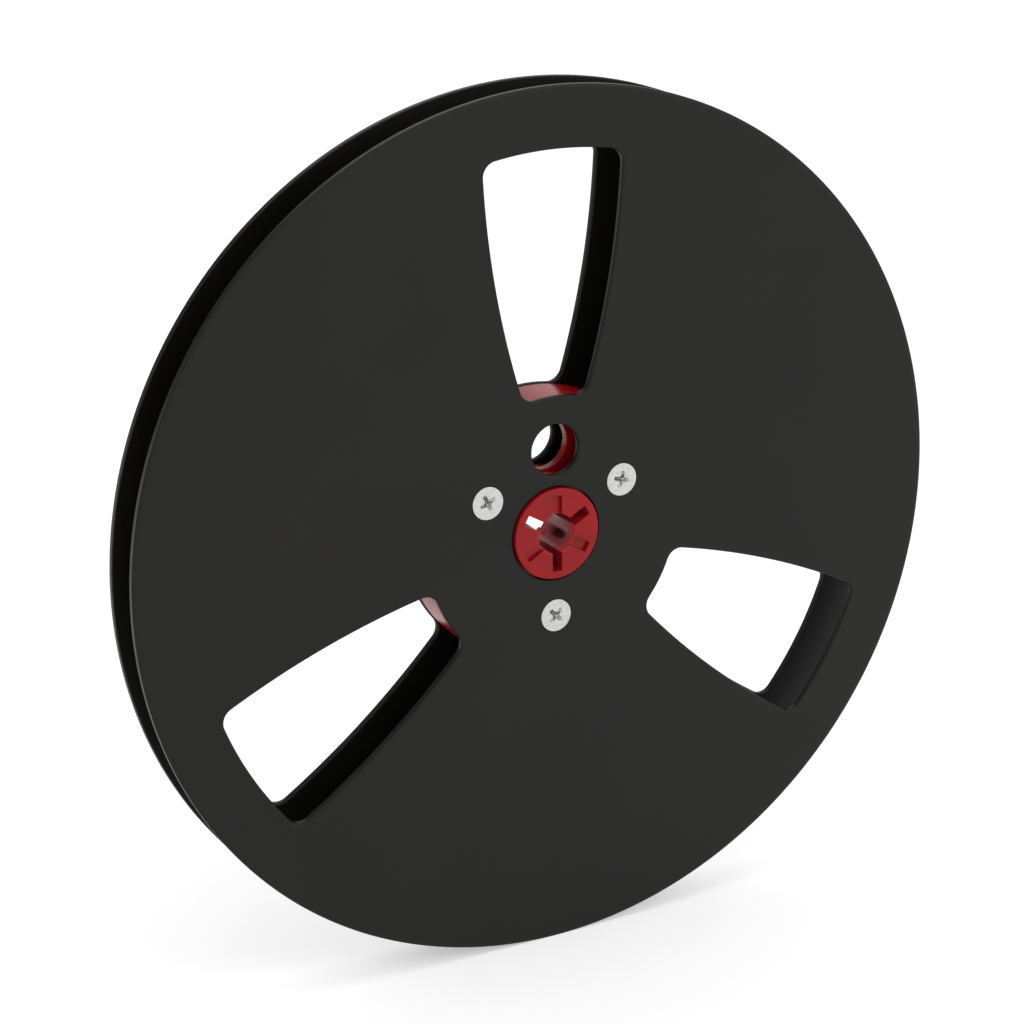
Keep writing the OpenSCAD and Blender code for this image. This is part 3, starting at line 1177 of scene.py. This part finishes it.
world = bpy.data.worlds.new("white_world")
bpy.context.scene.world = world
world.use_nodes = True
world.node_tree.nodes.clear()
sky = world.node_tree
full_white = add(sky, "ShaderNodeBackground", Strength=1.0)
soft_white = add(sky, "ShaderNodeBackground", Strength=world_level)
for backdrop in (full_white, soft_white):
    backdrop.inputs["Color"].default_value = (1, 1, 1, 1)
sky_choice = choose(sky, seen_directly(sky), soft_white, full_white)
feed(sky, add(sky, "ShaderNodeOutputWorld").inputs["Surface"], sky_choice)


def soft_lamp(name, place, power, width):
    """A large square lamp that faces the reel."""
    data = bpy.data.lights.new(name, "AREA")
    data.shape = "SQUARE"
    data.size = width
    data.energy = power
    lamp = bpy.data.objects.new(name, data)
    bpy.context.scene.collection.objects.link(lamp)
    lamp.location = place
    lamp.rotation_mode = "QUATERNION"
    lamp.rotation_quaternion = (-Vector(place)).to_track_quat("-Z", "Y")
    lamp.visible_camera = False


def dark_card(name, place, width):
    """A dark square card that faces the reel and shows in its shiny faces alone."""
    near_black = (0.01, 0.01, 0.01, 1)
    material, tree, _ = new_material(name)
    show(tree, add(tree, "ShaderNodeBsdfDiffuse", Color=near_black))
    solid = bmesh.new()
    half = width / 2
    corners = [(-half, -half), (half, -half), (half, half), (-half, half)]
    solid.faces.new(ring(solid, corners, 0))
    facing = Vector(place).to_track_quat("Z", "Y").to_matrix().to_4x4()
    bmesh.ops.transform(solid, matrix=Matrix.Translation(place) @ facing, verts=solid.verts)
    card = new_object(name, solid_mesh(solid, name))
    card.data.materials.append(material)
    card.visible_camera = False
    card.visible_diffuse = False
    card.visible_shadow = False


for lamp_name, lamp_place, lamp_power, lamp_width in (
    ("front_lamp", (0.90, -1.25, 0.75), 5, 0.9),
    ("top_lamp", (0.10, -0.20, 1.60), 4, 0.8),
    ("rear_lamp", (-0.90, 1.25, 0.75), 2, 0.9),
):
    soft_lamp(lamp_name, lamp_place, lamp_power, lamp_width)

for card_name, card_place, card_width in (
    ("dark_card_behind", (-0.52, 1.00, 0.46), 1.00),
    ("dark_card_camera", (-0.46, -0.82, 0.36), 0.45),
):
    dark_card(card_name, card_place, card_width)

# Camera
# It stands to the left of the reel and a little above it, as in the photograph, about half a
# metre away, with a long lens that fills the picture with the reel.

camera_place = Vector((-0.24508, -0.44325, 0.17585))
camera_target = Vector((-0.00985, -0.00600, 0.00612))
camera_roll = radians(0.53)
lens_length = 94.2
sensor_width = 36

camera_data = bpy.data.cameras.new("camera")
camera_data.lens = lens_length
camera_data.sensor_width = sensor_width
camera_data.clip_start = 0.01
camera_data.clip_end = 20
camera = bpy.data.objects.new("camera", camera_data)
bpy.context.scene.collection.objects.link(camera)
camera.location = camera_place
aim = (camera_target - camera_place).to_track_quat("-Z", "Y").to_matrix()
camera.rotation_euler = (aim @ Matrix.Rotation(-camera_roll, 3, "Z")).to_euler()
bpy.context.scene.camera = camera
bpy.context.scene.view_settings.view_transform = "Standard"
